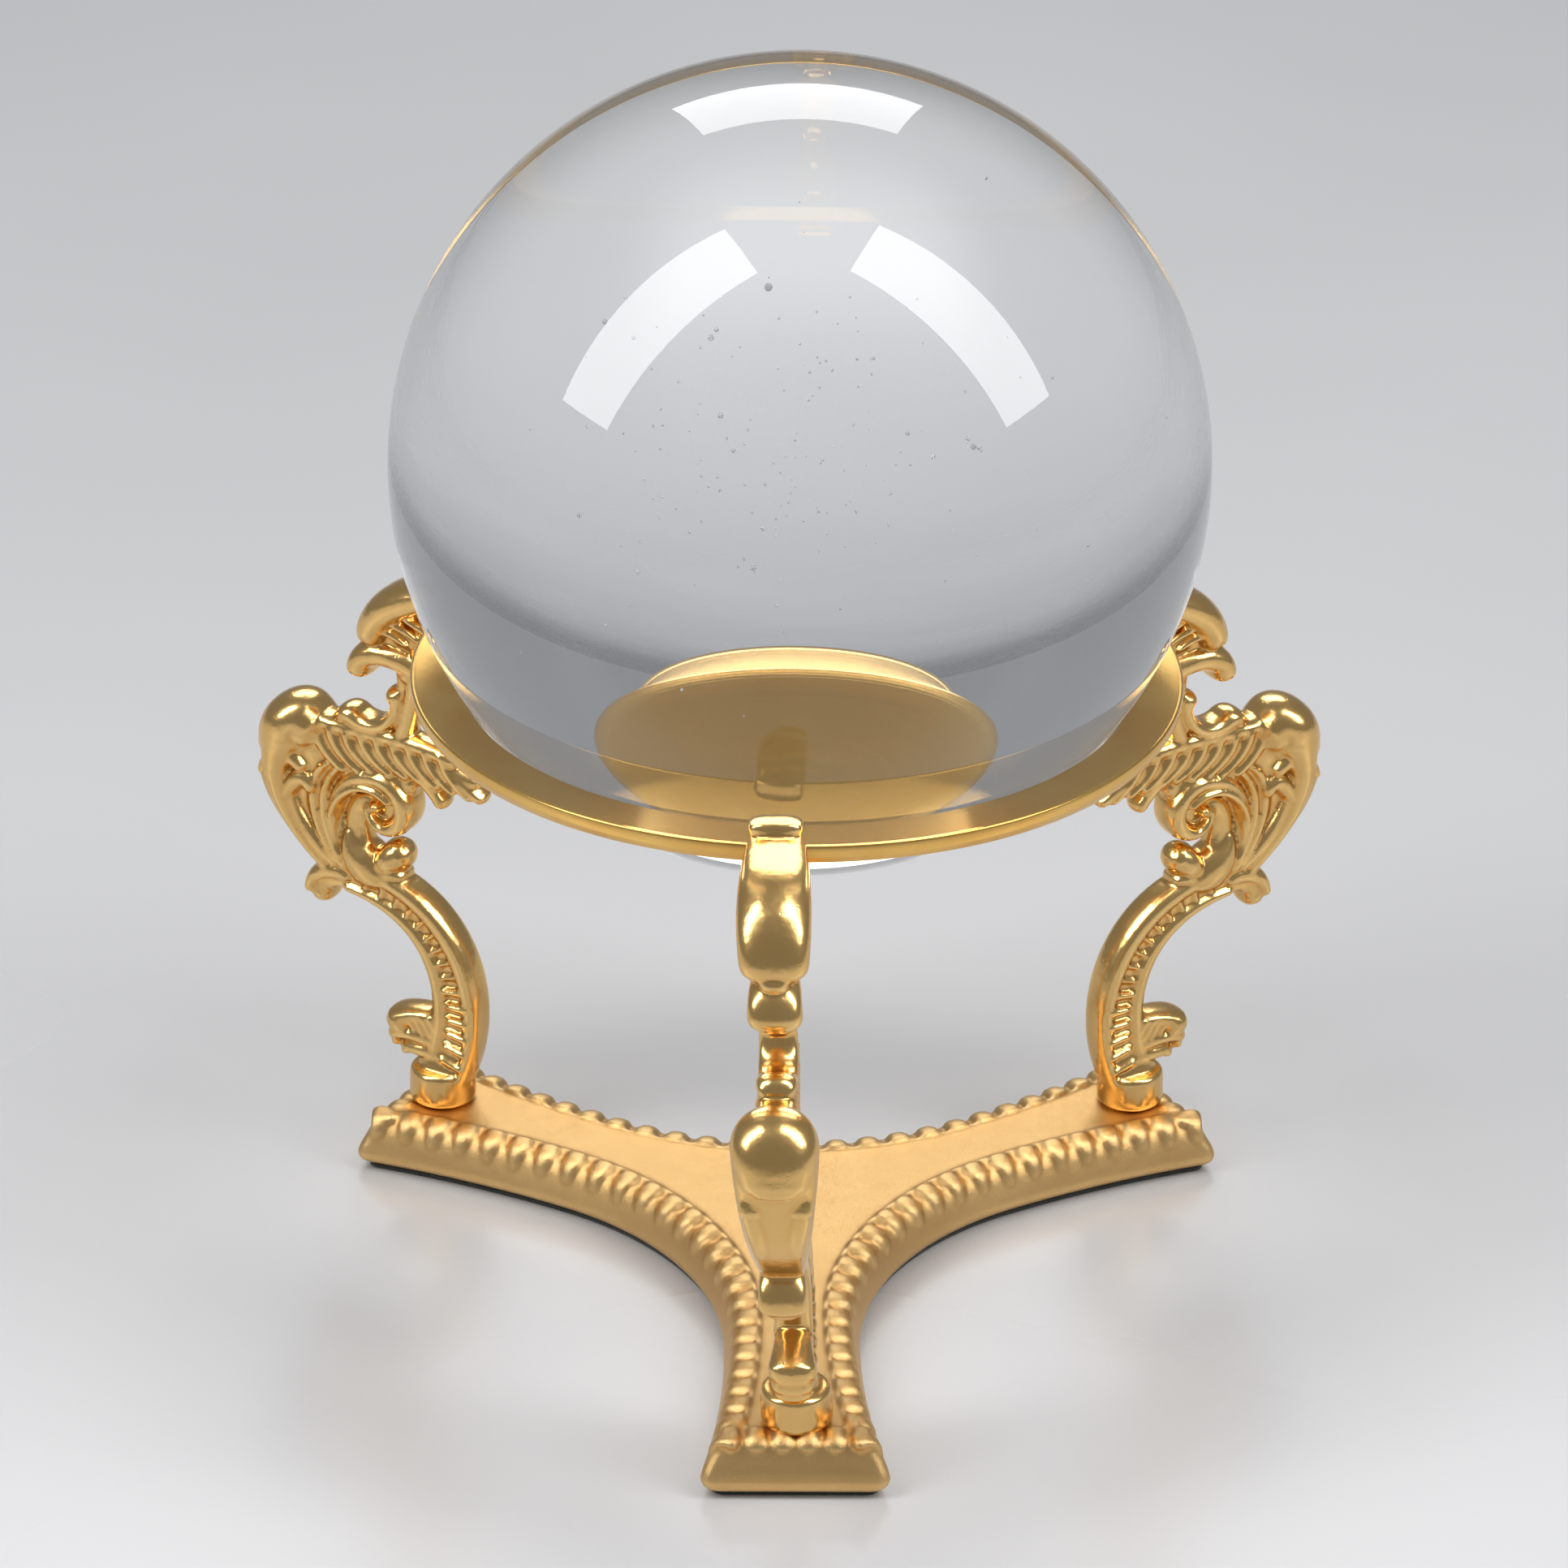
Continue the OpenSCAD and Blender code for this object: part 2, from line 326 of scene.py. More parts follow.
@dataclass(frozen=True)
class PaintedSheenBubble:
    """A small void in glass, with a painted reflection: a pale silvery colour stands in for the light its
    walls reflect.
    """

    name: str = "bubble_painted_sheen"

    def build(self) -> bpy.types.Material:
        """Returns the finish as a material."""
        s = Shader(self.name)
        # painted reflection: pale grey to white colour in place of the light a void's walls reflect
        painted_sheen = s.ramp(s.noise(400, 1), [(0.3, (0.7, 0.75, 0.78, 1)), (0.7, (1, 1, 1, 1))])
        return s.surface({"Base Color": painted_sheen, "Roughness": 0.15, "Alpha": 0.6})


@dataclass(frozen=True)
class Felt:
    """Dense short felt."""

    name: str = "black_felt"
    dark: Triple = (0.012, 0.014, 0.012)
    light: Triple = (0.05, 0.055, 0.05)

    def build(self) -> bpy.types.Material:
        """Returns the finish as a material."""
        s = Shader(self.name)
        fibres = s.noise(5200, 4, s.stretched((1.0, 1.0, 0.3)))
        clumps = s.noise(900, 3)
        colour = s.blend((fibres * 0.6 + clumps * 0.4).clamp(0.3, 0.7), opaque(self.dark), opaque(self.light))
        return s.surface(
            {
                "Base Color": colour,
                "Roughness": 0.92,
                "Sheen Weight": 0.4,
                "Normal": s.bump(fibres, 0.8, 0.0002),
            }
        )


@dataclass(frozen=True)
class TurnedSteel:
    """Plain turned steel of the hidden fixings."""

    name: str = "fixing_steel"

    def build(self) -> bpy.types.Material:
        """Returns the finish as a material."""
        s = Shader(self.name)
        marks = s.noise(2600, 3, s.stretched((1.0, 1.0, 6.0)))
        colour = s.ramp(marks, [(0.3, (0.42, 0.43, 0.45, 1)), (0.7, (0.6, 0.61, 0.62, 1))])
        return s.surface(
            {
                "Base Color": colour,
                "Metallic": 1.0,
                "Roughness": 0.28 + marks * 0.15,
                "Normal": s.bump(marks, 0.3, 0.00005),
            }
        )


@dataclass(frozen=True)
class StudioFloor:
    """Pale, faintly glossy table top."""

    name: str = "studio_floor"

    def build(self) -> bpy.types.Material:
        """Returns the finish as a material."""
        s = Shader(self.name)
        cloud = s.noise(3, 3)
        colour = s.ramp(cloud, [(0.3, (0.60, 0.60, 0.61, 1)), (0.7, (0.66, 0.66, 0.67, 1))])
        return s.surface({"Base Color": colour, "Roughness": 0.22 + cloud * 0.1})


@dataclass(frozen=True)
class Finishes:
    """Every finish of the object, built once."""

    leg: bpy.types.Material
    ring: bpy.types.Material
    base: bpy.types.Material
    glass: bpy.types.Material
    bubble: bpy.types.Material
    felt: bpy.types.Material
    steel: bpy.types.Material

    @classmethod
    def made(cls) -> "Finishes":
        """Builds every finish."""
        return cls(
            leg=Gilt("cast_gilt").build(),
            ring=TurnedGilt().build(),
            base=Gilt(
                "base_gilt",
                bright=(0.84, 0.56, 0.24),
                # darker colour of the base's painted shade in its hollows and of its random cloud
                dark_tone_and_shade=(0.55, 0.26, 0.06),
                rough=(0.3, 0.42),
                ripple=0.2,
                pits=0.12,
                satin=0.25,
            ).build(),
            glass=ClearGlass().build(),
            bubble=PaintedSheenBubble().build(),
            felt=Felt().build(),
            steel=TurnedSteel().build(),
        )


# ---------------------------------------------------------------- mesh helpers


def piece_from(bm: bmesh.types.BMesh, name: str, smooth: bool = True) -> bpy.types.Object:
    """Turns a bmesh into an object in the scene, and frees the bmesh.

    Args:
        bm: the shape.
        name: the object's and the mesh's name.
        smooth: whether its faces are shaded smooth.

    Returns:
        The object.
    """
    for face in bm.faces:
        face.smooth = smooth
    mesh = bpy.data.meshes.new(name)
    bm.to_mesh(mesh)
    bm.free()
    obj = bpy.data.objects.new(name, mesh)
    bpy.context.scene.collection.objects.link(obj)
    return obj


def dress(obj: bpy.types.Object, material: bpy.types.Material) -> None:
    """Gives an object one material."""
    obj.data.materials.clear()
    obj.data.materials.append(material)


def with_modifiers_applied(obj: bpy.types.Object) -> bmesh.types.BMesh:
    """Removes an object and returns its shape with its modifiers applied."""
    evaluated = obj.evaluated_get(bpy.context.evaluated_depsgraph_get())
    mesh = bpy.data.meshes.new_from_object(evaluated)
    bm = bmesh.new()
    bm.from_mesh(mesh)
    bpy.data.meshes.remove(mesh)
    bpy.data.objects.remove(obj)
    return bm


def cast_in_one(bm: bmesh.types.BMesh, voxel: float, smoothing: int) -> bmesh.types.BMesh:
    """Melts overlapping closed shells into one skin, as a casting has.

    Args:
        bm: the shells, in millimetres. It is freed.
        voxel: the size of the detail that is kept, in millimetres.
        smoothing: how many rounds of smoothing soften the joins.

    Returns:
        The skin.
    """
    bmesh.ops.recalc_face_normals(bm, faces=bm.faces)
    obj = piece_from(bm, "casting")
    remesh = obj.modifiers.new("skin", "REMESH")
    remesh.mode = "VOXEL"
    remesh.voxel_size = voxel
    skin = with_modifiers_applied(obj)
    for _ in range(smoothing):
        bmesh.ops.smooth_vert(
            skin, verts=skin.verts, factor=0.5, use_axis_x=True, use_axis_y=True, use_axis_z=True
        )
    return skin


def sweep_round(bm: bmesh.types.BMesh, points: Sequence[Vector], radius: float) -> None:
    """Adds a round bar along a line of points."""
    before = None
    face = None
    for i, point in enumerate(points):
        along = (points[min(i + 1, len(points) - 1)] - points[max(i - 1, 0)]).normalized()
        station = Matrix.Translation(point) @ along.to_track_quat("Z", "Y").to_matrix().to_4x4()
        if face is None:
            made = bmesh.ops.create_circle(bm, cap_ends=True, radius=radius, segments=10, matrix=station)
            face = made["verts"][0].link_faces[0]
        else:
            grown = bmesh.ops.extrude_face_region(bm, geom=[face])["geom"]
            verts = [g for g in grown if isinstance(g, bmesh.types.BMVert)]
            face = next(g for g in grown if isinstance(g, bmesh.types.BMFace))
            bmesh.ops.transform(bm, matrix=station @ before.inverted(), verts=verts)
        before = station


def curve_point(points: Sequence[Vector], t: float) -> Vector:
    """Returns a point on a cubic curve with four control points."""
    a, b, c, d = points
    u = 1 - t
    return a * u**3 + b * (3 * u * u * t) + c * (3 * u * t * t) + d * t**3


def swell(ends: Triple, t: float) -> float:
    """Returns the smooth curve through a start, a middle and an end value."""
    start, middle, end = ends
    return start * (1 - t) * (1 - 2 * t) + 4 * middle * t * (1 - t) + end * t * (2 * t - 1)


@dataclass(frozen=True)
class Limb:
    """A rounded bar that follows a curve in its own upright plane, with rounded ends.

    Attributes:
        path: the curve it follows, from 0 at its start to 1 at its end.
        thick: half thickness in the plane at the start, middle and end, in millimetres.
        wide: half width across the plane at the start, middle and end, in millimetres.
        side: how far it stands to one side of the plane at its start and end.
        steps: stations along it.
        sides: corners round it.
        square: 2 for an oval section, more for a squarer one.
    """

    path: Callable[[float], Vector]
    thick: Triple
    wide: Triple
    side: Pair = (0.0, 0.0)
    steps: int = 14
    sides: int = 16
    square: float = 2.4

    def stations(self) -> list[Matrix]:
        """Returns the place, turn and size of the section at each station."""
        made = []
        cap = (75, 50, 25)
        for i in range(self.steps + 1):
            made.append(self._station(i / self.steps, 1.0, 0.0))
        start = [self._station(0.0, math.cos(math.radians(a)), -math.sin(math.radians(a))) for a in cap]
        end = [self._station(1.0, math.cos(math.radians(a)), math.sin(math.radians(a))) for a in cap]
        return start + made + end[::-1]

    def _station(self, t: float, size: float, ahead: float) -> Matrix:
        """Returns the section at t, shrunk to size and moved ahead by a share of its thickness."""
        step = 0.01
        before, after = self.path(max(0.0, t - step)), self.path(min(1.0, t + step))
        along = (after - before).normalized()
        across = Vector((0, 1, 0))
        out = across.cross(along)
        thick = swell(self.thick, t)
        place = self.path(t) + along * (ahead * thick)
        place.y += self.side[0] * (1 - t) + self.side[1] * t
        section = Matrix((out * thick * size, across * swell(self.wide, t) * size, along)).transposed()
        return Matrix.Translation(place) @ section.to_4x4()

    def shell(self) -> bpy.types.Mesh:
        """Returns the section swept along the path as one closed shell."""
        stations = self.stations()
        bm = bmesh.new()
        verts = bmesh.ops.create_circle(bm, cap_ends=True, radius=1.0, segments=self.sides)["verts"]
        for v in verts:
            for k in (0, 1):
                v.co[k] = math.copysign(abs(v.co[k]) ** (2 / self.square), v.co[k])
        face = verts[0].link_faces[0]
        bmesh.ops.transform(bm, matrix=stations[0], verts=verts)
        for before, after in zip(stations, stations[1:]):
            grown = bmesh.ops.extrude_face_region(bm, geom=[face])["geom"]
            verts = [g for g in grown if isinstance(g, bmesh.types.BMVert)]
            face = next(g for g in grown if isinstance(g, bmesh.types.BMFace))
            bmesh.ops.transform(bm, matrix=after @ before.inverted(), verts=verts)
        mesh = bpy.data.meshes.new("limb")
        bm.to_mesh(mesh)
        bm.free()
        return mesh

    def add_to(self, bm: bmesh.types.BMesh) -> None:
        """Adds the limb to a casting."""
        mesh = self.shell()
        bm.from_mesh(mesh)
        bpy.data.meshes.remove(mesh)


# foot radius, base height, ring radius and ring height that the leg's curves are drawn for
PATTERN = (58.0, 8.0, 52.5, 91.0)
# how the front leg was set by hand: its lean at ring height, in millimetres, and the slope of its turn
FRONT_SET = (4.0, 0.052)


@dataclass(frozen=True)
class LegPlane:
    """The upright plane a leg is drawn in, from its foot to the ring.

    Attributes:
        foot_r: distance from the axis to the foot's middle.
        foot_z: height of the base's top.
        ring_r: the ring's outside radius.
        ring_z: height of the ring's top.
    """

    foot_r: float
    foot_z: float
    ring_r: float
    ring_z: float

    def point(self, r: float, z: float) -> Vector:
        """Returns the place of a point that is drawn at r, z on the pattern leg.

        Args:
            r: distance from the axis on the pattern.
            z: height on the pattern.
        """
        foot_r, foot_z, ring_r, ring_z = PATTERN
        up = (z - foot_z) / (ring_z - foot_z)
        out = r - (foot_r + (ring_r - foot_r) * up)
        line = self.foot_r + (self.ring_r - self.foot_r) * up
        return Vector((line + out, 0.0, self.foot_z + (self.ring_z - self.foot_z) * up))

    def curve(self, *points: Pair) -> Callable[[float], Vector]:
        """Returns the cubic curve with four control points, as drawn on the pattern leg."""
        control = [self.point(*p) for p in points]
        return lambda t: curve_point(control, t)

    def spiral(self, eye: Pair, radii: Pair, angles: Pair) -> Callable[[float], Vector]:
        """Returns a spiral round an eye.

        Args:
            eye: its middle, as drawn on the pattern leg.
            radii: radius at the start and the end, in millimetres.
            angles: angle at the start and the end, in degrees, from outwards towards up.
        """
        middle = self.point(*eye)

        def at(t: float) -> Vector:
            """Returns the point at t."""
            angle = math.radians(angles[0] + (angles[1] - angles[0]) * t)
            radius = radii[0] * (radii[1] / radii[0]) ** t
            return middle + Vector((math.cos(angle) * radius, 0, math.sin(angle) * radius))

        return at


# ---------------------------------------------------------------- ball


@dataclass(frozen=True)
class GlassBall:
    """The loose glass ball and the fine voids near its middle.

    Attributes:
        middle: the ball's centre, in metres.
        radius: its radius, in metres.
        bubbles: how many voids it holds.
        seed: what the scatter starts from.
    """

    middle: Vector
    radius: float
    bubbles: int = 170
    seed: int = 11

    def build_ball(self) -> bpy.types.Object:
        """Returns the polished ball."""
        bm = bmesh.new()
        bmesh.ops.create_icosphere(
            bm, subdivisions=7, radius=self.radius, matrix=Matrix.Translation(self.middle)
        )
        return piece_from(bm, "glass_ball")

    def build_bubbles(self) -> bpy.types.Object:
        """Returns the voids, most of them in a loose cloud about the ball's middle."""
        draw = random.Random(self.seed)
        bm = bmesh.new()
        for i in range(self.bubbles):
            spread = 0.26 if i % 5 == 0 else 0.15
            offset = Vector((draw.gauss(0, 1), draw.gauss(0, 1), draw.gauss(0, 0.8))) * (self.radius * spread)
            if offset.length > self.radius * 0.6:
                offset *= 0.6 * self.radius / offset.length
            size = draw.uniform(0.07, 0.16) * MM if i % 12 else draw.uniform(0.2, 0.3) * MM
            bmesh.ops.create_icosphere(
                bm, subdivisions=2, radius=size, matrix=Matrix.Translation(self.middle + offset)
            )
        return piece_from(bm, "glass_bubbles")

    def build(self, finishes: Finishes) -> list[bpy.types.Object]:
        """Makes, dresses and places the ball's pieces."""
        ball, bubbles = self.build_ball(), self.build_bubbles()
        dress(ball, finishes.glass)
        dress(bubbles, finishes.bubble)
        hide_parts("crystal_ball")
        for obj in (ball, bubbles):
            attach(obj, "ball")
        return [ball, bubbles]


# ---------------------------------------------------------------- ring


@dataclass(frozen=True)
class BallRing:
    """The flat ring that carries the ball.

    Attributes:
        outer_r: outside radius, in metres.
        bottom: height of its underside.
        top: height of its top face.
        ball: the ball that it seats.
        seat_gap: gap between the ball and its seat.
    """

    outer_r: float
    bottom: float
    top: float
    ball: GlassBall
    seat_gap: float = 0.15 * MM

    def seat_radius(self, z: float) -> float:
        """Returns the radius of the seat at a height."""
        reach = self.ball.radius + self.seat_gap
        return math.sqrt(reach * reach - (z - self.ball.middle.z) ** 2)

    def profile(self) -> list[Vector]:
        """Returns the ring's section, from the seat's foot outwards and back over the top."""
        thick = self.top - self.bottom
        outer = [
            (self.outer_r - 1.05 * MM, self.bottom),
            (self.outer_r - 0.75 * MM, self.bottom + 0.06 * MM),
            (self.outer_r - 0.16 * MM, self.bottom + thick * 0.36),
            (self.outer_r - 0.02 * MM, self.bottom + thick * 0.46),
            (self.outer_r, self.top - 0.3 * MM),
            (self.outer_r - 0.1 * MM, self.top - 0.09 * MM),
            (self.outer_r - 0.32 * MM, self.top),
            (self.outer_r - 0.62 * MM, self.top - 0.03 * MM),
            (self.outer_r - 0.9 * MM, self.top - 0.12 * MM),
        ]
        heights = [self.top - 0.12 * MM - (thick - 0.12 * MM) * i / 6 for i in range(7)]
        lip = [(self.seat_radius(heights[0]) + 0.25 * MM, heights[0])]
        seat = [(self.seat_radius(z), z) for z in heights]
        seat[0] = (seat[0][0] + 0.04 * MM, seat[0][1] - 0.1 * MM)
        return [Vector((r, 0, z)) for r, z in outer + lip + seat]

    def build(self, finishes: Finishes) -> bpy.types.Object:
        """Spins the section round the axis, dresses it and places it."""
        bm = bmesh.new()
        verts = [bm.verts.new(p) for p in self.profile()]
        edges = [bm.edges.new((a, b)) for a, b in zip(verts, verts[1:] + verts[:1])]
        bmesh.ops.spin(
            bm,
            geom=verts + edges,
            axis=(0, 0, 1),
            cent=(0, 0, 0),
            angle=math.tau,
            steps=256,
            use_merge=True,
        )
        bmesh.ops.remove_doubles(bm, verts=bm.verts, dist=1e-6)
        bmesh.ops.recalc_face_normals(bm, faces=bm.faces)
        sharp = [
            e for e in bm.edges if len(e.link_faces) == 2 and e.calc_face_angle() > math.radians(28)
        ]
        bmesh.ops.bevel(
            bm, geom=sharp, offset=0.06 * MM, segments=2, profile=0.5, affect="EDGES", material=-1
        )
        ring = piece_from(bm, "turned_ring")
        dress(ring, finishes.ring)
        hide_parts("ball_ring")
        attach(ring, "stand")
        return ring


# ---------------------------------------------------------------- legs


@dataclass(frozen=True)
class ScrollLeg:
    """One cast leg: the limbs, ribs, beads and curls that are melted into one casting.

    Attributes:
        plane: the plane the leg is drawn in.
        foot_d: diameter of its round foot, in millimetres.
        foot_h: height of its round foot.
        voxel: smallest detail kept, in millimetres.
    """

    plane: LegPlane
    foot_d: float = 9.8
    foot_h: float = 5.5
    voxel: float = 0.28

    def stem(self) -> Iterable[Limb]:
        """Yields the stem: its web, its two rails and the bars across them."""
        p = self.plane
        middle = p.curve((57.1, 13.0), (51.9, 24.6), (54.9, 40.0), (72.3, 41.6))
        yield Limb(middle, (3.6, 3.4, 2.3), (2.2, 1.7, 2.1), steps=28)
        inner, outer = self._beside(middle, -3.2, -1.4), self._beside(middle, 2.4, 2.2)
        yield Limb(inner, (0.8, 1.65, 1.3), (2.6, 2.75, 2.8), steps=30, sides=24)
        yield Limb(outer, (1.4, 1.6, 0.95), (2.5, 2.65, 2.7), steps=30, sides=24)
        yield Limb(
            p.curve((57.9, 9.0), (57.9, 11.0), (57.6, 13.0), (56.6, 15.0)),
            (4.0, 4.1, 3.6),
            (3.7, 3.6, 2.5),
            sides=24,
        )
        for i in range(15):
            t = 0.07 + 0.87 * i / 14
            low = max(0.0, min(1.0, (0.44 - t) / 0.1))
            start, end = -1.2 - 1.7 * low, 1.9 - 1.3 * low
            yield self._bar(middle, t, (start, end), 0.6 + 0.25 * low, 2.35 + 0.6 * low)

    @staticmethod
    def _beside(path: Callable[[float], Vector], start: float, end: float) -> Callable[[float], Vector]:
        """Returns a path beside another in the leg's plane, at a distance that goes from start to end."""

        def at(t: float) -> Vector:
            """Returns the point at t."""
            step = 0.01
            along = (path(min(1.0, t + step)) - path(max(0.0, t - step))).normalized()
            return path(t) + Vector((0, 1, 0)).cross(along) * (start + (end - start) * t)

        return at

    @staticmethod
    def _bar(path: Callable[[float], Vector], t: float, reach: Pair, thick: float, wide: float) -> Limb:
        """Returns a bar straight across a path in the leg's plane."""
        along = (path(t + 0.01) - path(t - 0.01)).normalized()
        out = Vector((0, 1, 0)).cross(along)
        ends = [path(t) + out * r for r in reach]
        return Limb(
            lambda s: ends[0].lerp(ends[1], s), (thick,) * 3, (wide,) * 3, steps=3, sides=14, square=2.2
        )

    def _bead(self, r: float, z: float, size: float, wide: float) -> Limb:
        """Returns a round bead that shows on both sides of the leg."""
        middle = self.plane.point(r, z)
        return Limb(
            lambda t: middle + Vector((0.02 * t, 0, 0)),
            (size,) * 3,
            (wide,) * 3,
            steps=1,
            sides=16,
            square=2.0,
        )

    def _pair(self, line: Sequence[Pair], thick: Triple, side: Pair, depth: float = 1.1) -> Iterable[Limb]:
        """Yields a rib along a curve on each side of the leg.

        Args:
            line: the curve, as drawn on the pattern leg.
            thick: the rib's half thickness at its start, middle and end.
            side: how far from the leg's plane its crest lies at its start and end.
            depth: how deep it goes into the leg.
        """
        curve = self.plane.curve(*line)
        for sign in (-1, 1):
            offset = (sign * (side[0] - depth), sign * (side[1] - depth))
            yield Limb(curve, thick, (depth,) * 3, side=offset, steps=12, sides=14, square=2.1)

    def heel_curl(self) -> Iterable[Limb]:
        """Yields the outward curl low on the stem with its beads."""
        p = self.plane
        yield Limb(
            p.curve((57.5, 20.8), (60.2, 21.9), (63.2, 21.0), (64.2, 19.6)),
            (1.8, 1.3, 2.5),
            (2.4, 2.7, 3.4),
            sides=24,
        )
        yield Limb(
            p.curve((58.5, 17.6), (61, 18.3), (63.5, 18.2), (65.2, 17.5)),
            (1.5, 1.2, 1.2),
            (2.6, 2.9, 2.8),
        )
        yield Limb(
            p.curve((57.5, 15.6), (59.5, 15.9), (61.5, 15.9), (63, 15.6)),
            (1.6, 1.4, 1.2),
            (2.6, 2.7, 2.4),
        )
        for r, z, size in ((64.9, 16.2, 1.05), (63.2, 15.2, 1.15), (58.3, 16.2, 1.0)):
            yield self._bead(r, z, size, 2.55)
        for i in range(4):
            low, high = (57.6 + 0.9 * i, 19.2 - 0.5 * i), (58.9 + 1.0 * i, 21.6 - 0.55 * i)
            yield from self._pair((low, low, high, high), (0.4, 0.5, 0.4), (2.5, 2.75), 0.8)

    def knee(self) -> Iterable[Limb]:
        """Yields the knee's rounded head, the mass under it and the rolled leaf end below."""
        p = self.plane
        yield Limb(
            p.curve((79.7, 63.9), (81.2, 64.6), (83.3, 63.0), (84.4, 60.4)),
            (4.0, 4.2, 3.0),
            (4.9, 5.7, 4.7),
            steps=20,
            sides=36,
            square=2.15,
        )
        yield Limb(
            p.curve((82.5, 62.0), (85.4, 55.6), (82.9, 48.2), (75.8, 41.9)),
            (3.8, 1.8, 1.2),
            (5.6, 4.45, 2.9),
            steps=24,
            sides=28,
        )
        yield Limb(
            p.curve((71, 42.2), (76, 46), (80.5, 52), (79.3, 60.4)),
            (2.2, 4.3, 4.6),
            (2.1, 2.3, 3.0),
            steps=18,
        )
        yield Limb(
            p.curve((76, 61), (76.5, 56), (77, 50), (75, 45)),
            (2.5, 3.0, 2.0),
            (2.2, 1.7, 2.0),
            steps=16,
        )
        yield Limb(
            p.curve((73.2, 41.4), (75.9, 41.9), (78.6, 40.7), (78.9, 38.0)),
            (1.6, 1.5, 1.1),
            (2.8, 3.1, 3.2),
            sides=24,
        )
        yield Limb(
            p.curve((73.6, 40), (75.6, 40), (77.2, 38.9), (77.3, 37.3)),
            (1.3, 1.4, 1.8),
            (2.4, 2.5, 2.9),
            sides=24,
        )
        yield self._bead(72.7, 41.3, 1.25, 3.0)

    def leaf(self) -> Iterable[Limb]:
        """Yields the leaf on both sides of the knee: its lobes and the ribs that run down from them."""
        # upper lobe, which droops past the edge, and its rib
        yield from self._pair(
            ((79.6, 57.9), (81.6, 60.0), (84.0, 59.4), (85.5, 56.2)),
            (1.2, 1.5, 0.9),
            (4.2, 4.8),
            1.7,
        )
        yield from self._pair(
            ((85.4, 57.0), (85.0, 52.6), (82.6, 48.6), (77.4, 43.4)),
            (0.8, 1.15, 0.9),
            (4.6, 3.0),
            1.3,
        )
        # second lobe and its rib
        yield from self._pair(
            ((78.0, 54.7), (79.0, 57.0), (80.9, 55.6), (82.0, 52.6)),
            (1.1, 1.5, 1.0),
            (3.9, 4.2),
            1.7,
        )
        yield from self._pair(
            ((81.8, 53.6), (81.6, 50.0), (79.2, 46.6), (74.9, 43.3)),
            (0.9, 1.4, 1.0),
            (4.0, 3.0),
            1.3,
        )
        # ribs between the lobes and the scroll
        yield from self._pair(
            ((75.4, 58.9), (79.0, 56.4), (79.0, 49.6), (74.3, 43.9)),
            (0.5, 0.75, 0.6),
            (3.1, 3.0),
        )
        yield from self._pair(
            ((73.8, 58.3), (77.0, 55.4), (77.3, 49.4), (73.6, 44.4)),
            (0.5, 0.7, 0.5),
            (2.8, 3.0),
        )
        # fold from the head down to the leaf
        yield from self._pair(
            ((76.8, 62.6), (78.8, 61.6), (80.2, 60.0), (80.6, 57.8)),
            (0.7, 0.6, 0.5),
            (3.2, 3.7),
            1.2,
        )

    def inner_scroll(self) -> Iterable[Limb]:
        """Yields the scroll inside the knee, the spoon under it and the knob beside that."""
        p = self.plane
        # ribbon up from the root of the leaf and over the eye
        yield Limb(
            p.curve((73.3, 43.2), (76.5, 47.6), (75.5, 57.8), (67.6, 58.1)),
            (1.1, 1.2, 1.5),
            (2.9, 2.8, 3.0),
            steps=24,
            sides=24,
        )
        yield Limb(
            p.spiral((66.8, 53.6), (4.5, 3.4), (84, 262)),
            (1.5, 1.7, 1.1),
            (3.0, 3.1, 2.7),
            steps=26,
            sides=24,
        )
        yield Limb(p.spiral((66.8, 53.6), (3.4, 2.2), (262, 352)), (1.1, 0.9, 0.7), (2.7, 2.5, 2.3), steps=14)
        yield from self._pair(
            ((65.0, 55.2), (68.4, 58.0), (73.5, 56.2), (74.9, 50.6)),
            (0.5, 0.65, 0.5),
            (3.35, 3.2),
            1.4,
        )
        yield self._bead(67.5, 53.7, 1.15, 3.3)
        yield self._bead(67.0, 53.4, 3.0, 1.1)
        # dished band between the eye and the spoon
        yield Limb(
            p.curve((67.3, 54.0), (71.6, 54.6), (72.6, 49.6), (70.5, 45.8)),
            (1.2, 1.9, 1.9),
            (1.9, 1.6, 2.3),
            steps=20,
        )
        # web up to the arm
        yield Limb(p.curve((62.5, 58.0), (66, 58.8), (71, 59.4), (77, 58)), (1.5, 1.8, 1.9), (1.9, 2.1, 2.1))
        # spoon
        yield Limb(
            p.curve((66.2, 41.9), (68.8, 42.4), (72.0, 44.4), (72.3, 48.0)),
            (1.6, 3.3, 1.4),
            (2.6, 3.5, 2.3),
            sides=28,
            square=2.1,
        )
        # knob with the small roll under it
        yield Limb(
            p.curve((67.0, 44.2), (66.3, 44.9), (65.3, 45.7), (64.7, 46.1)),
            (1.9, 2.3, 2.5),
            (2.7, 3.1, 2.9),
            sides=24,
            square=2.0,
        )
        yield Limb(
            p.curve((64.0, 43.0), (65.2, 43.4), (66.4, 43.1), (67.4, 42.4)),
            (1.0, 1.2, 1.1),
            (2.3, 2.7, 2.4),
        )

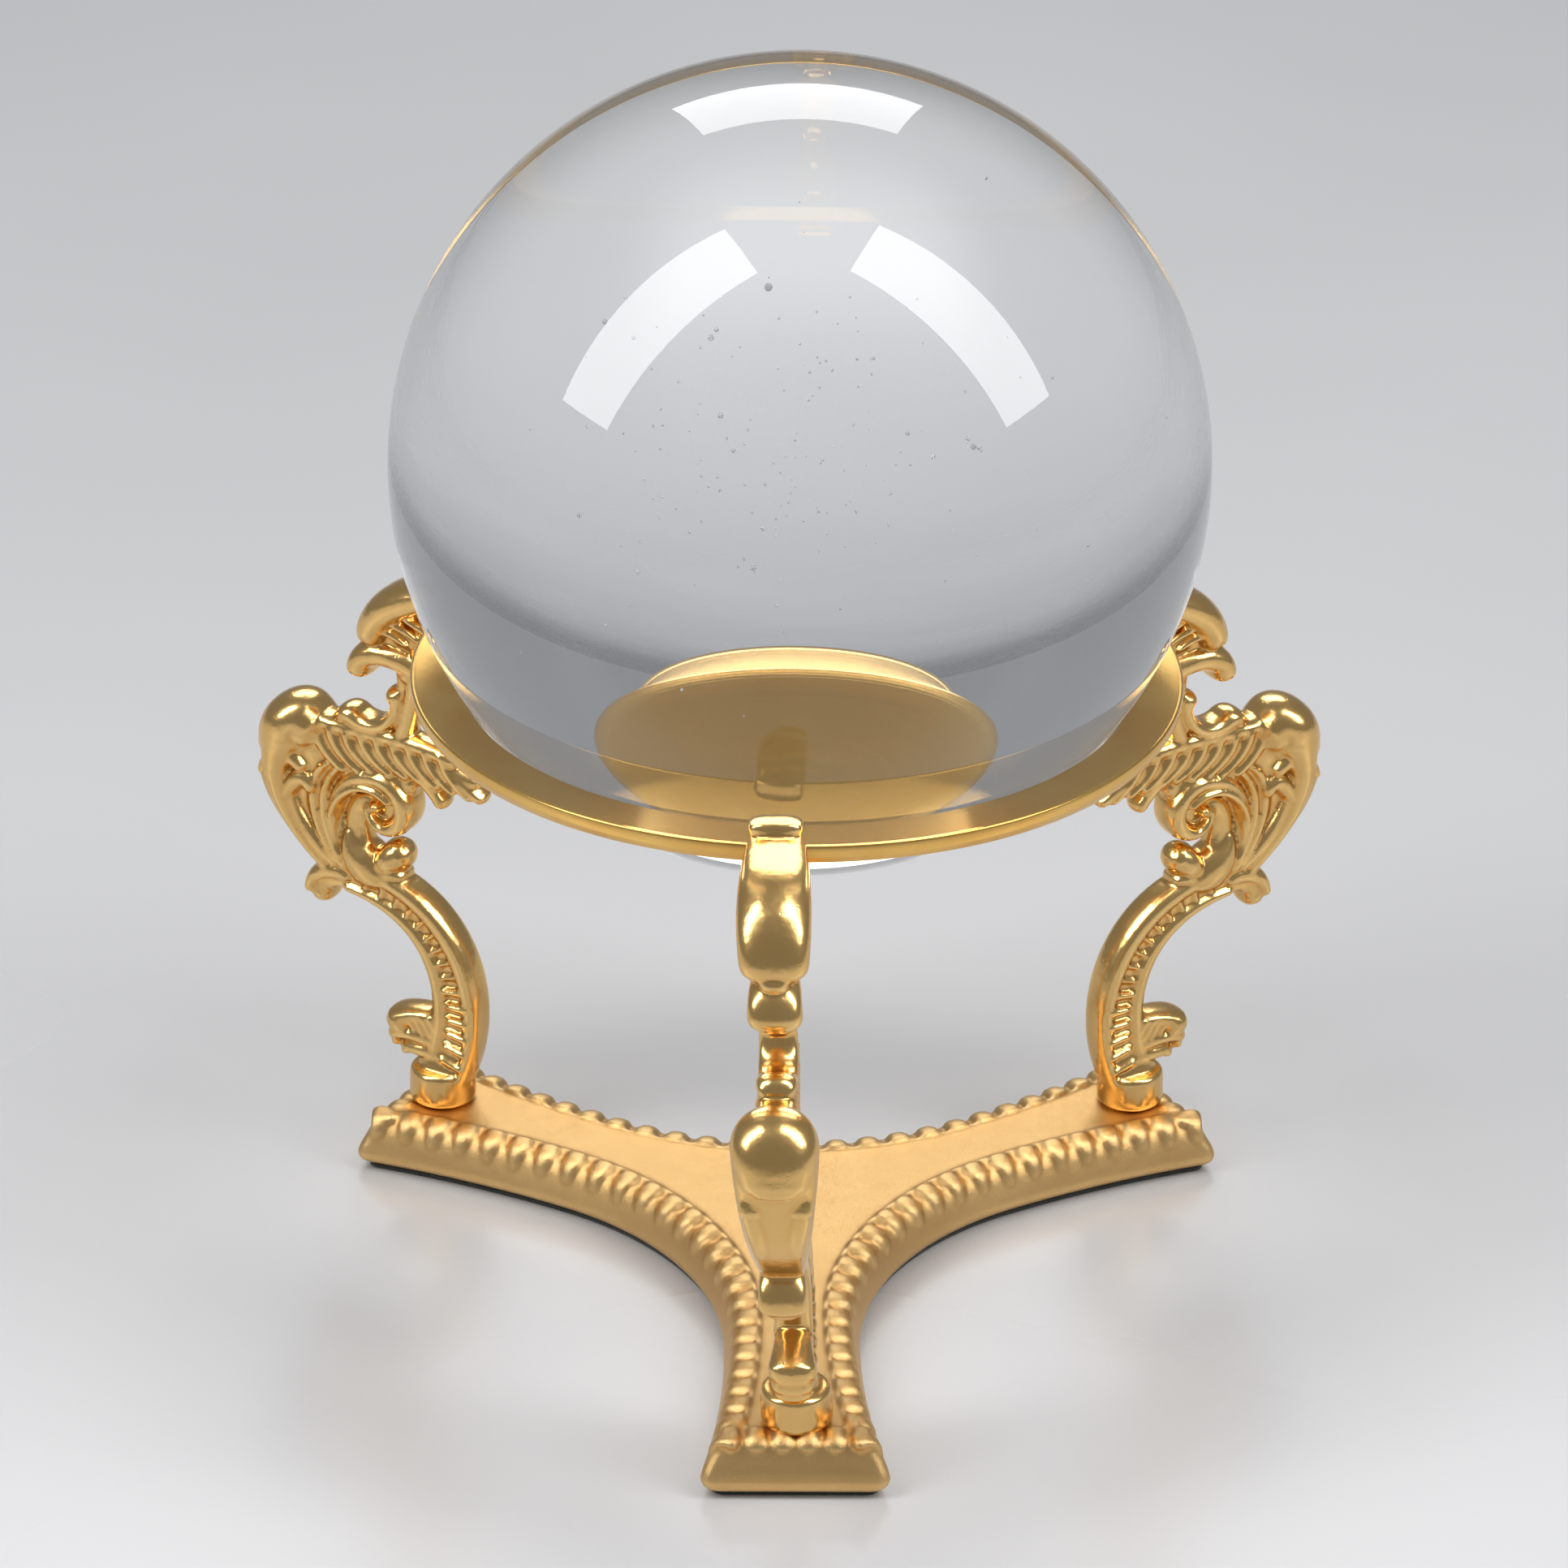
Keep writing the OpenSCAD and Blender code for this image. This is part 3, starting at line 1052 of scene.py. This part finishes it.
    def arm(self) -> Iterable[Limb]:
        """Yields the arm in under the ball, with its slanting flutes."""
        p = self.plane
        yield Limb(
            p.curve((79, 62.4), (70, 61.0), (61, 62.8), (52, 60.8)),
            (3.3, 3.0, 1.4),
            (2.6, 2.3, 1.6),
            steps=22,
            sides=24,
        )
        yield Limb(
            p.curve((78, 65.2), (70, 64.4), (62, 66.0), (55, 63.6)),
            (1.3, 1.3, 1.1),
            (2.75, 2.5, 2.0),
            steps=22,
        )
        for i in range(9):
            r = 77.4 - 2.6 * i
            lift = 0.9 * math.sin(math.pi * i / 8)
            size = 1.0 - 0.035 * i
            line = (
                (r, 64.4),
                (r - 0.5, 62.0 + 0.3 * lift),
                (r - 2.2, 60.0 + lift),
                (r - 4.6, 58.6 + 1.2 * lift),
            )
            yield from self._pair(
                line,
                (0.85 * size, 1.08 * size, 0.75 * size),
                (3.15 * size, 2.9 * size),
                1.5,
            )
        # end of the C-shaped ribbon, rolled on the arm
        yield Limb(
            p.curve((70.5, 66.4), (71.6, 67.2), (72.6, 67.4), (73.2, 66.6)),
            (1.2, 1.5, 1.3),
            (2.7, 2.7, 2.5),
            sides=24,
        )
        # knobs under the arm's inner end
        yield Limb(
            p.curve((59.8, 60.0), (58.6, 58.8), (57.8, 57.8), (57.2, 56.9)),
            (1.6, 1.3, 1.2),
            (2.3, 2.1, 2.0),
        )
        yield self._bead(57.1, 56.6, 1.2, 2.1)
        yield Limb(
            p.curve((54.0, 60.6), (52.6, 60.0), (51.4, 59.3), (50.6, 58.8)),
            (1.3, 1.0, 1.0),
            (2.0, 1.9, 1.8),
        )

    def upper_scroll(self) -> Iterable[Limb]:
        """Yields the upper scroll: its stem, its tongue over the ring and the beak under that."""
        p = self.plane
        # stem: a rail beside the ring and the C-shaped ribbon outside it
        yield Limb(
            p.curve((64, 64.5), (60.6, 70), (62, 78), (56.4, 86)),
            (1.5, 1.5, 2.2),
            (2.3, 2.2, 2.8),
            steps=24,
        )
        yield Limb(
            p.curve((63.9, 72), (63.6, 66.4), (68.6, 65.2), (71.6, 67.0)),
            (1.1, 1.15, 1.4),
            (2.5, 2.6, 2.7),
            steps=24,
            sides=24,
        )
        yield Limb(
            p.curve((63.0, 76.5), (62.6, 73), (63.0, 70), (64.6, 67.5)),
            (1.4, 1.3, 1.2),
            (1.9, 1.7, 1.7),
            steps=14,
        )
        yield self._bead(64.5, 71.7, 1.45, 2.6)
        yield self._bead(61.9, 75.6, 1.5, 2.7)
        # tongue
        yield Limb(
            p.curve((50.6, 91.2), (57.2, 89.4), (65.6, 87.8), (67.5, 81.6)),
            (1.6, 2.7, 2.5),
            (3.6, 4.75, 4.5),
            steps=28,
            sides=36,
            square=2.25,
        )
        # rolled lip over the ring
        yield Limb(
            p.curve((49.6, 92.7), (50.2, 93.2), (51.0, 93.35), (51.8, 93.0)),
            (1.15, 1.25, 1.2),
            (3.6, 3.6, 3.5),
            steps=4,
            square=3.0,
        )
        # web behind the beak, and the beak itself
        yield Limb(
            p.curve((59, 81), (62, 82), (66, 82), (69, 79.8)),
            (2.6, 2.6, 1.4),
            (2.1, 2.0, 1.9),
            steps=16,
        )
        yield Limb(
            p.curve((59.9, 76.4), (64.2, 78.8), (69.4, 78.8), (70.0, 75.4)),
            (2.0, 2.0, 2.0),
            (2.7, 3.3, 3.6),
            steps=22,
            sides=28,
        )
        for i in range(3):
            low, high = (57.4 + 2.1 * i, 82.9 - 1.0 * i), (61.2 + 2.2 * i, 84.9 - 1.3 * i)
            mid = ((low[0] + high[0]) / 2, (low[1] + high[1]) / 2 + 0.3)
            yield from self._pair((low, mid, mid, high), (0.45, 0.65, 0.5), (2.9, 3.3), 1.3)

    def casting(self) -> bmesh.types.BMesh:
        """Returns the whole leg as one skin, in millimetres, standing along +X."""
        bm = bmesh.new()
        for group in (
            self.stem,
            self.heel_curl,
            self.knee,
            self.leaf,
            self.inner_scroll,
            self.arm,
            self.upper_scroll,
        ):
            for limb in group():
                limb.add_to(bm)
        self._add_round_foot(bm)
        return cast_in_one(bm, self.voxel, 2)

    def _add_round_foot(self, bm: bmesh.types.BMesh) -> None:
        """Adds the round foot with its softened lower and upper edges."""
        p = self.plane
        middle = Matrix.Translation((p.foot_r, 0, p.foot_z + self.foot_h / 2 + 0.05))
        made = bmesh.ops.create_cone(
            bm,
            cap_ends=True,
            segments=40,
            radius1=self.foot_d / 2,
            radius2=self.foot_d / 2 - 0.15,
            depth=self.foot_h - 0.1,
            matrix=middle,
        )
        rims = [
            e
            for e in {e for v in made["verts"] for e in v.link_edges}
            if abs(e.verts[0].co.z - e.verts[1].co.z) < 0.01
        ]
        bmesh.ops.bevel(bm, geom=rims, offset=0.8, segments=3, profile=0.5, affect="EDGES", material=-1)

    def build(self, skin: bmesh.types.BMesh, side: Side, finishes: Finishes) -> bpy.types.Object:
        """Places one copy of the casting.

        Args:
            skin: the casting, which is kept.
            side: which leg it is.
            finishes: the finishes.

        Returns:
            The leg.
        """
        bm = skin.copy()
        lean, swing = FRONT_SET if side is Side.FRONT else (0.0, 0.0)
        foot_top = self.plane.foot_z + self.foot_h
        shear = Matrix.Identity(4)
        height = self.plane.ring_z - self.plane.foot_z
        shear[1][0] = -swing
        shear[1][2] = -lean / height
        shear[1][3] = foot_top * lean / height + self.plane.foot_r * swing
        turn = Matrix.Rotation(math.radians(side.value), 4, "Z")
        bmesh.ops.transform(bm, matrix=Matrix.Scale(MM, 4) @ turn @ shear, verts=bm.verts)
        name = side.name.lower()
        leg = piece_from(bm, f"scroll_leg_{name}")
        dress(leg, finishes.leg)
        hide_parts(f"leg_{name}")
        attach(leg, "stand")
        return leg


# ---------------------------------------------------------------- base


@dataclass(frozen=True)
class GadroonedBase:
    """The three-armed base plate with its hollow sides and gadrooned edge, in millimetres.

    Attributes:
        toe_r: distance from the axis to a toe's end face at the bottom.
        toe_half_w: half width of a toe.
        arm_half_w: half width of an arm where it is narrowest.
        waist_r: distance from the axis to the middle of a hollow side.
        bottom: height of the underside.
        top: height of the flat field.
        pitch: distance from one gadroon to the next.
        rim: distance from the bottom outline to the line inside the gadroons.
        corner_r: radius of a toe's corners, seen from above.
        margin: distance from a toe's end to the first gadroon along the side.
        toe_gadroons: how many short gadroons a toe's end has.
        toe_pitch: distance from one of those to the next.
        line_r: radius of the raised line.
        felt_inset: how far the felt stays inside the bottom outline.
        voxel: smallest detail kept.
    """

    toe_r: float
    toe_half_w: float
    arm_half_w: float
    waist_r: float
    bottom: float
    top: float
    pitch: float = 4.4
    rim: float = 4.6
    corner_r: float = 1.5
    margin: float = 4.2
    toe_gadroons: int = 6
    toe_pitch: float = 3.5
    line_r: float = 0.3
    felt_inset: float = 1.2
    voxel: float = 0.37

    @property
    def hollow_r(self) -> float:
        """Returns the radius of a hollow side."""
        half = math.radians(60)
        return (self.waist_r * math.sin(half) - self.arm_half_w) / (1 - math.sin(half))

    @property
    def hollow_middle(self) -> Vector:
        """Returns the middle of the arc of the first hollow side."""
        up = self.arm_half_w + self.hollow_r
        return Vector((up / math.tan(math.radians(60)), up, 0))

    def half_side(self, inset: float, end_inset: float) -> list[Vector]:
        """Returns points from the first toe's corner to the middle of the hollow side.

        Args:
            inset: how far the points lie inside the bottom outline.
            end_inset: how far the toe's end face lies inside the bottom outline.
        """
        middle = self.hollow_middle
        flare = (self.toe_half_w - self.arm_half_w) / (self.toe_r - middle.x) ** 2
        points = []
        start = self.toe_r - end_inset - self.corner_r
        for i in range(24):
            x = start - (start - middle.x) * i / 24
            half_w = self.arm_half_w + flare * (x - middle.x) ** 2
            slant = 2 * flare * (x - middle.x)
            points.append(Vector((x, half_w - inset * math.hypot(1, slant), 0)))
        pivot = points[0] - Vector((0, self.corner_r, 0))
        for angle in (70, 50, 30, 15, 0):
            way = Vector((math.cos(math.radians(angle)), math.sin(math.radians(angle)), 0))
            points.insert(0, pivot + way * self.corner_r)
        for i in range(13):
            angle = math.radians(-90 - 30 * i / 12)
            way = Vector((math.cos(angle), math.sin(angle), 0))
            points.append(middle + way * (self.hollow_r + inset))
        return points

    def side(self, inset: float, end_inset: float) -> list[Vector]:
        """Returns the points of the first hollow side, from its toe to the next."""
        near = self.half_side(inset, end_inset)
        c, s = math.cos(math.radians(120)), math.sin(math.radians(120))
        far = [Vector((p.x * c + p.y * s, p.x * s - p.y * c, 0)) for p in near[:-1]]
        return near + far[::-1]

    def outline(self, inset: float, end_inset: float) -> list[Vector]:
        """Returns the whole outline, turned so that one toe points each way a leg does."""
        points = []
        for side in Side:
            turn = Matrix.Rotation(math.radians(side.value), 3, "Z")
            points.append([turn @ p for p in self.side(inset, end_inset)])
        front, left, right = points
        return front + right + left

    def slab(self, rows: Sequence[Triple]) -> bmesh.types.BMesh:
        """Returns a closed solid with the outline, stacked from the bottom up.

        Args:
            rows: the side inset, the end inset and the height of each level.
        """
        bm = bmesh.new()
        loops = []
        for inset, end_inset, z in rows:
            verts = [bm.verts.new((p.x, p.y, z)) for p in self.outline(inset, end_inset)]
            loops.append([bm.edges.new(pair) for pair in zip(verts, verts[1:] + verts[:1])])
        for below, above in zip(loops, loops[1:]):
            bmesh.ops.bridge_loops(bm, edges=below + above)
        bmesh.ops.contextual_create(bm, geom=loops[0])
        bmesh.ops.contextual_create(bm, geom=loops[-1])
        bmesh.ops.recalc_face_normals(bm, faces=bm.faces)
        return bm

    def body(self) -> bmesh.types.BMesh:
        """Returns the plate with its coved walls and its plain toe ends."""
        tall = self.top - self.bottom
        # inset of the hollow sides, inset of the toe ends, and share of the plate's height
        section = (
            (1.4, 0.8, 0.0),
            (0.6, 0.25, 0.06),
            (0.15, 0.05, 0.15),
            (0.0, 0.0, 0.26),
            (0.2, 0.3, 0.4),
            (0.6, 0.8, 0.56),
            (1.15, 1.3, 0.74),
            (1.75, 1.8, 0.86),
            (2.4, 2.2, 0.93),
            (3.4, 2.8, 0.96),
            (4.5, 4.3, 0.975),
            (4.9, 4.7, 1.0),
        )
        return self.slab([(side, end, self.bottom + tall * up) for side, end, up in section])

    def gadroon(self, ends: bool) -> Limb:
        """Returns one gadroon, drawn with x inwards from the bottom outline.

        Args:
            ends: whether it is one of the short ones over a toe's end.
        """
        top = self.top
        # each line gives the distance in from the bottom outline and the height
        if ends:
            line = ((4.6, top - 0.15), (3.8, top + 0.2), (2.6, top + 0.3), (2.1, top - 1.0))
            thick, wide = (0.8, 0.5, 0.75), (1.45, 1.25, 1.4)
        else:
            line = ((4.2, top - 0.2), (3.2, top + 0.1), (1.4, top + 0.2), (1.35, top - 2.4))
            thick, wide = (0.95, 0.5, 0.7), (1.85, 1.4, 1.0)
        control = [Vector((x, 0, z)) for x, z in line]
        return Limb(lambda t: curve_point(control, t), thick, wide, steps=10, sides=16, square=2.2)

    def gadroons(self) -> Iterable[tuple[bpy.types.Mesh, Matrix]]:
        """Yields each gadroon with its place."""
        edge = self.side(0, 0)
        reach = [0.0]
        for a, b in zip(edge, edge[1:]):
            reach.append(reach[-1] + (b - a).length)
        span = reach[-1] - 2 * self.margin
        count = round(span / self.pitch)
        long_one, short_one = self.gadroon(False).shell(), self.gadroon(True).shell()
        for side in Side:
            turn = Matrix.Rotation(math.radians(side.value), 4, "Z")
            for i in range(count + 1):
                want = self.margin + span * i / count
                k = next(k for k, r in enumerate(reach) if r >= want)
                a, b = edge[k - 1], edge[k]
                along = (b - a).normalized()
                place = a.lerp(b, (want - reach[k - 1]) / (reach[k] - reach[k - 1]))
                inward = Vector((0, 0, 1)).cross(along)
                yield long_one, turn @ self._frame(place, inward)
            for i in range(self.toe_gadroons):
                place = Vector((self.toe_r, (i - (self.toe_gadroons - 1) / 2) * self.toe_pitch, 0))
                yield short_one, turn @ self._frame(place, Vector((-1, 0, 0)))

    @staticmethod
    def _frame(place: Vector, inward: Vector) -> Matrix:
        """Returns the frame of a gadroon, with x inwards and z up."""
        up = Vector((0, 0, 1))
        axes = Matrix((inward, up.cross(inward), up)).transposed()
        return Matrix.Translation(place) @ axes.to_4x4()

    def rim_lines(self) -> Iterable[list[Vector]]:
        """Yields the points of the raised line inside the gadroons of each hollow side."""
        line = self.side(self.rim + 0.2, self.rim)
        for side in Side:
            turn = Matrix.Rotation(math.radians(side.value), 3, "Z")
            yield [turn @ p + Vector((0, 0, self.top + 0.02)) for p in line]

    def build(self, finishes: Finishes) -> bpy.types.Object:
        """Casts the plate with its gadroons and dresses it.

        Args:
            finishes: the finishes.

        Returns:
            The base.
        """
        bm = self.body()
        for shell, place in self.gadroons():
            shell.transform(place)
            bm.from_mesh(shell)
            shell.transform(place.inverted())
        for points in self.rim_lines():
            sweep_round(bm, points, self.line_r)
        skin = cast_in_one(bm, self.voxel, 1)
        bmesh.ops.scale(skin, vec=(MM, MM, MM), verts=skin.verts)
        base = piece_from(skin, "gadrooned_base")
        dress(base, finishes.base)
        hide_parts("base_plate")
        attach(base, "stand")
        return base

    def build_felt(self, finishes: Finishes) -> bpy.types.Object:
        """Cuts the felt that the base stands on.

        Args:
            finishes: the finishes.

        Returns:
            The felt.
        """
        inset = self.felt_inset
        section = ((0.15, 0.0), (0.0, 0.2), (0.0, self.bottom - 0.15), (0.1, self.bottom))
        bm = self.slab([(inset + extra, inset + extra, z) for extra, z in section])
        bmesh.ops.scale(bm, vec=(MM, MM, MM), verts=bm.verts)
        felt = piece_from(bm, "felt_pad", smooth=False)
        dress(felt, finishes.felt)
        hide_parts("felt_sheet")
        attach(felt, "stand")
        return felt


# ---------------------------------------------------------------- fixings, studio and the whole


@dataclass(frozen=True)
class Studio:
    """The pale floor, the soft lights and the camera.

    Attributes:
        aim: what the camera looks at, in metres.
        distance: how far away it stands.
        elevation: how high it looks from, in degrees.
        azimuth: how far round it stands from the front, in degrees.
        roll: how far it is tilted, in degrees.
        lens: its focal length, in millimetres.
    """

    aim: Vector = Vector((-0.00154, 0.00003, 0.07368))
    distance: float = 0.82026
    elevation: float = 26.53
    azimuth: float = -1.08
    roll: float = -0.77
    lens: float = 137.3

    def build_camera(self) -> None:
        """Sets up the camera."""
        up, round_ = math.radians(self.elevation), math.radians(self.azimuth)
        way = Vector((math.sin(round_) * math.cos(up), -math.cos(round_) * math.cos(up), math.sin(up)))
        data = bpy.data.cameras.new("studio_camera")
        data.lens = self.lens
        data.sensor_width = 36.0
        data.clip_start, data.clip_end = 0.01, 50.0
        camera = bpy.data.objects.new("studio_camera", data)
        camera.location = self.aim + way * self.distance
        turn = (-way).to_track_quat("-Z", "Y") @ Quaternion((0, 0, 1), math.radians(-self.roll))
        camera.rotation_mode = "QUATERNION"
        camera.rotation_quaternion = turn
        bpy.context.scene.collection.objects.link(camera)
        bpy.context.scene.camera = camera

    def build_floor(self) -> None:
        """Lays the floor."""
        bm = bmesh.new()
        bmesh.ops.create_grid(bm, x_segments=1, y_segments=1, size=4.0)
        floor = piece_from(bm, "floor", smooth=False)
        dress(floor, StudioFloor().build())

    def build_light(self, name: str, place: Triple, size: Pair, power: float) -> None:
        """Hangs one soft box that faces the object.

        Args:
            name: its name.
            place: its middle, in metres.
            size: its width and height.
            power: its power, in watts.
        """
        data = bpy.data.lights.new(name, "AREA")
        data.shape = "RECTANGLE"
        data.size, data.size_y = size
        data.energy = power
        light = bpy.data.objects.new(name, data)
        light.location = place
        way = Vector((0, 0, 0.08)) - Vector(place)
        light.rotation_euler = way.to_track_quat("-Z", "Y").to_euler()
        bpy.context.scene.collection.objects.link(light)

    def build_world(self) -> None:
        """Sets the room's soft grey light."""
        world = bpy.data.worlds.new("studio")
        world.use_nodes = True
        background = world.node_tree.nodes["Background"]
        background.inputs[0].default_value = (0.8, 0.82, 0.86, 1)
        background.inputs[1].default_value = 0.3
        bpy.context.scene.world = world

    def build(self) -> None:
        """Sets up everything that isn't the object."""
        bpy.context.scene.view_settings.view_transform = "Standard"
        self.build_floor()
        self.build_world()
        self.build_light("soft_box_left", (-0.62, -0.25, 0.85), (0.32, 1.0), 6)
        self.build_light("soft_box_right", (0.62, -0.22, 0.85), (0.32, 1.0), 6)
        self.build_light("soft_box_back", (0.0, 1.1, 1.0), (0.8, 0.5), 5)
        self.build_camera()


def dress_fixings(finishes: Finishes) -> list[bpy.types.Object]:
    """Gives the pins, screws and washers their steel, and returns them."""
    dressed = []
    for node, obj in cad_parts.items():
        if node.startswith(("ring_pin", "foot_screw", "foot_washer")):
            dress(obj, finishes.steel)
            dressed.append(obj)
    return dressed


def main() -> None:
    """Builds the whole object in its studio."""
    logging.basicConfig(level=logging.INFO, format="%(message)s")
    finishes = Finishes.made()

    low, high = (Vector(corner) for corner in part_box("crystal_ball"))
    ball = GlassBall(middle=(low + high) / 2, radius=(high.x - low.x) / 2)
    ring_low, ring_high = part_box("ball_ring")
    ring = BallRing(outer_r=ring_high[0], bottom=ring_low[2], top=ring_high[2], ball=ball)
    base_low, base_high = (Vector(corner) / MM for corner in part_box("base_plate"))
    pieces = ball.build(finishes)
    pieces.append(ring.build(finishes))

    screw_low, screw_high = (Vector(corner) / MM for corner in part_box("foot_screw_front"))
    foot_r = -(screw_low.y + screw_high.y) / 2
    plane = LegPlane(foot_r=foot_r, foot_z=base_high.z, ring_r=ring_high[0] / MM, ring_z=ring_high[2] / MM)
    leg = ScrollLeg(plane)
    skin = leg.casting()
    for side in Side:
        pieces.append(leg.build(skin, side, finishes))
    skin.free()

    base = GadroonedBase(
        toe_r=-base_low.y,
        toe_half_w=13.0,
        arm_half_w=9.4,
        waist_r=18.0,
        bottom=base_low.z,
        top=base_high.z,
    )
    pieces.append(base.build(finishes))
    felt = base.build_felt(finishes)
    pieces.append(felt)
    pieces += dress_fixings(finishes)
    for piece in pieces:
        LOG.info("%s: %d faces", piece.name, len(piece.data.polygons))
    Studio().build()


if __name__ == "__main__":
    main()
